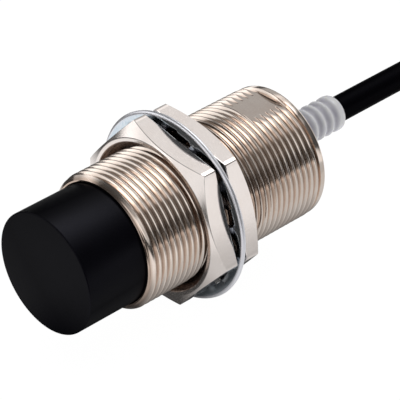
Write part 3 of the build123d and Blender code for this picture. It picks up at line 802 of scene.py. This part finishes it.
def make_sky():
    """The world: the softboxes over a dim room in reflections, more even for matt surfaces, and plain
    white to the camera."""
    sky = Sky()
    height = sky.split(sky.direction)[2]
    level = sky.node("ShaderNodeValToRGB", {0: sky.span(height, -1.0, 1.0, 0.0, 1.0)})
    points = level.color_ramp.elements
    while len(points) < len(SKY_LEVELS):
        points.new(0.5)
    for point, (place, value) in zip(points, SKY_LEVELS):
        point.position = place
        point.color = rgb(value, value, value)
    total = level.outputs[0]
    for towards, wide, soft, power in SOFTBOXES:
        share = sky.softbox(towards, wide, soft)
        total = sky.calc("ADD", total, sky.calc("MULTIPLY", share, power))
    path = sky.node("ShaderNodeLightPath")
    diffuse = sky.calc("MULTIPLY", path.outputs["Is Diffuse Ray"], SKY_EXTRA_FOR_DIFFUSE)
    total = sky.calc("ADD", total, diffuse)
    seen = sky.node("ShaderNodeBackground", {"Color": rgb(1, 1, 1), "Strength": 1.0})
    lit = sky.node("ShaderNodeBackground", {"Color": total, "Strength": 1.0})
    mix = sky.node("ShaderNodeMixShader", {0: path.outputs["Is Camera Ray"], 1: lit.outputs[0],
                                           2: seen.outputs[0]})
    sky.feed(sky.tree.nodes["World Output"].inputs[0], mix.outputs[0])


def painted_floor_light(finish):
    """The floor's brightness in mirror-like metal, by place: a painted pool of light round the object, dim
    further off, and a painted shadow right under it. Distances are in millimetres."""
    x, y, _ = finish.split(finish.place())
    half_body = (BARREL_HIGH.x - CAP_LOW.x) / 2 / MM
    from_middle = finish.calc("ABSOLUTE", finish.calc("SUBTRACT", x, half_body))
    past_end = finish.calc("MAXIMUM", finish.calc("SUBTRACT", from_middle, half_body), 0.0)
    away = finish.length(past_end, y)
    far_side = finish.span(y, -15.0, 15.0, 0.0, 1.0)
    in_front = finish.span(x, -15.0, 5.0, 1.0, 0.0)
    level = finish.span(finish.calc("MAXIMUM", far_side, in_front), 0.0, 1.0, 0.60, 0.90)
    near = finish.calc("MULTIPLY", finish.span(away, 60.0, 95.0, 1.0, 0.05), level)
    sideways = finish.calc("SUBTRACT", finish.calc("MULTIPLY", x, 0.6), finish.calc("MULTIPLY", y, 0.8))
    beside = finish.calc("ADD", finish.span(sideways, 40.0, 70.0, 0.0, 0.5),
                         finish.span(sideways, 200.0, 330.0, 0.0, 0.3))
    beside = finish.calc("MULTIPLY", beside, finish.span(x, -20.0, 20.0, 0.0, 1.0))
    behind = finish.span(x, 130.0, 180.0, 0.0, 0.9)
    lit = finish.calc("MAXIMUM", near, finish.calc("MAXIMUM", beside, behind))
    # Painted shadow: the light drops nearly to nothing right under the object.
    return finish.calc("MULTIPLY", lit, finish.span(away, 6.0, 20.0, 0.06, 1.0))


def make_floor():
    """A pale floor just under the object: white to the camera, clear from below, and with painted
    light and shadow of its own in mirror-like metal."""
    level = cad_box[0].z - FLOOR_DROP
    finish = Finish("floor_paper")
    paper = finish.node("ShaderNodeEmission", {"Color": rgb(1, 1, 1), "Strength": 0.98})
    shadow = finish.node("ShaderNodeBsdfDiffuse", {"Color": rgb(0.06, 0.06, 0.06)})
    to_camera = finish.node("ShaderNodeAddShader", {0: paper.outputs[0], 1: shadow.outputs[0]})
    to_metal = finish.node("ShaderNodeEmission", {"Color": rgb(1, 1, 1), "Strength": painted_floor_light(finish)})
    path = finish.node("ShaderNodeLightPath")
    not_through = finish.calc("SUBTRACT", 1.0, path.outputs["Is Transmission Ray"])
    mirrored = finish.calc("MULTIPLY", path.outputs["Is Glossy Ray"], not_through)
    seen = finish.node("ShaderNodeMixShader", {0: mirrored, 1: to_camera.outputs[0], 2: to_metal.outputs[0]})
    clear = finish.node("ShaderNodeBsdfTransparent")
    from_below = finish.node("ShaderNodeNewGeometry").outputs["Backfacing"]
    both = finish.node("ShaderNodeMixShader", {0: from_below, 1: seen.outputs[0], 2: clear.outputs[0]})
    finish.feed(finish.tree.nodes["Material Output"].inputs[0], both.outputs[0])
    corners = [(x * FLOOR_HALF, y * FLOOR_HALF, level) for x, y in ((-1, -1), (1, -1), (1, 1), (-1, 1))]
    floor = make_object("floor", corners, [(0, 1, 2, 3)], finish.material)


# ---------------------------------------------------------------- assembly
NODE_FINISHES = {
    "cap_seal": "rubber", "plug_seal": "rubber", "ferrite_core": "ferrite", "coil_bobbin": "bobbin",
    "coil_winding": "winding", "coil_leads": "winding", "coil_carrier": "bobbin",
    "circuit_board": "laminate", "oscillator_chip": "chip", "output_transistor": "chip",
    "board_resistors": "resistor", "board_capacitors": "capacitor", "protection_diodes": "chip",
    "indicator_led": "lamp", "solder_joints": "solder", "potting_resin": "resin",
    "clamp_ring": "solder", "cable_jacket": "sheath", "brown_core": "brown", "black_core": "black",
    "blue_core": "blue", "copper_conductors": "copper",
}


def make_finishes():
    return {
        "thread": nickel_thread(),
        "nut": nickel_nut(),
        "zinc": zinc_steel(),
        "cap": plastic("cap_plastic", (0.0012, 0.0011, 0.0022), 0.36, 3.5, 0.005, 0.11, edge=0.02),
        "plug": plastic("plug_plastic", (0.012, 0.012, 0.013), 0.5, 2.5, 0.012, 0.4),
        "boot": silicone(),
        "guide": clear_guide(),
        "rubber": plastic("seal_rubber", (0.02, 0.02, 0.02), 0.6, 2.0, 0.02, 0.3),
        "ferrite": plastic("ferrite", (0.06, 0.06, 0.065), 0.55, 4.0, 0.03, 0.5, 0.5),
        "bobbin": plastic("bobbin_plastic", (0.70, 0.66, 0.55), 0.4, 2.0, 0.01),
        "winding": wound_copper(),
        "laminate": laminate(),
        "chip": plastic("chip_epoxy", (0.02, 0.02, 0.022), 0.55, 6.0, 0.01),
        "resistor": plastic("resistor_ceramic", (0.05, 0.05, 0.06), 0.35, 5.0, 0.01),
        "capacitor": plastic("capacitor_ceramic", (0.42, 0.28, 0.17), 0.4, 5.0, 0.01),
        "lamp": plastic("led_lens", (0.80, 0.40, 0.05), 0.2, 2.0, 0.005),
        "solder": metal("solder", rgb(0.80, 0.81, 0.83), rgb(0.66, 0.67, 0.70), 0.25, (1.5, 1.5, 1.5),
                        0.02 * MM, turning_marks=False),
        "resin": plastic("resin", (0.035, 0.03, 0.028), 0.3, 0.8, 0.03),
        "sheath": plastic("cable_sheath", (0.0006, 0.0004, 0.0012), 0.4, 1.6, 0.015, 0.03, edge=0.005),
        "brown": plastic("core_brown", (0.13, 0.045, 0.018), 0.35, 2.0, 0.01),
        "black": plastic("core_black", (0.01, 0.01, 0.01), 0.35, 2.0, 0.01),
        "blue": plastic("core_blue", (0.015, 0.07, 0.33), 0.35, 2.0, 0.01),
        "copper": stranded_copper(),
    }


def place_piece(piece, body, node):
    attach(piece, body)
    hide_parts(node)


def build():
    finishes = make_finishes()
    place_piece(make_barrel(finishes["thread"]), "sensor", "threaded_barrel")
    front_nut = make_nut("front_nut_body", FRONT_NUT_LOW.x, FRONT_NUT_HIGH.x, finishes["nut"])
    place_piece(front_nut, "front_nut", "front_nut")
    rear_nut = make_nut("rear_nut_body", REAR_NUT_HIGH.x, REAR_NUT_LOW.x, finishes["nut"])
    place_piece(rear_nut, "rear_nut", "rear_nut")
    place_piece(make_washer(finishes["zinc"]), "washer", "toothed_washer")
    place_piece(make_cap(finishes["cap"]), "sensor", "sensing_cap")
    place_piece(make_plug(finishes["plug"]), "sensor", "rear_plug")
    place_piece(make_boot(finishes["boot"]), "sensor", "cable_boot")
    place_piece(make_guide(finishes["guide"]), "sensor", "light_guide")
    for node, key in NODE_FINISHES.items():
        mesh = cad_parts[node].data
        mesh.materials.clear()
        mesh.materials.append(finishes[key])


build()
make_camera()
make_sky()
make_floor()
bpy.context.scene.view_settings.view_transform = "Standard"
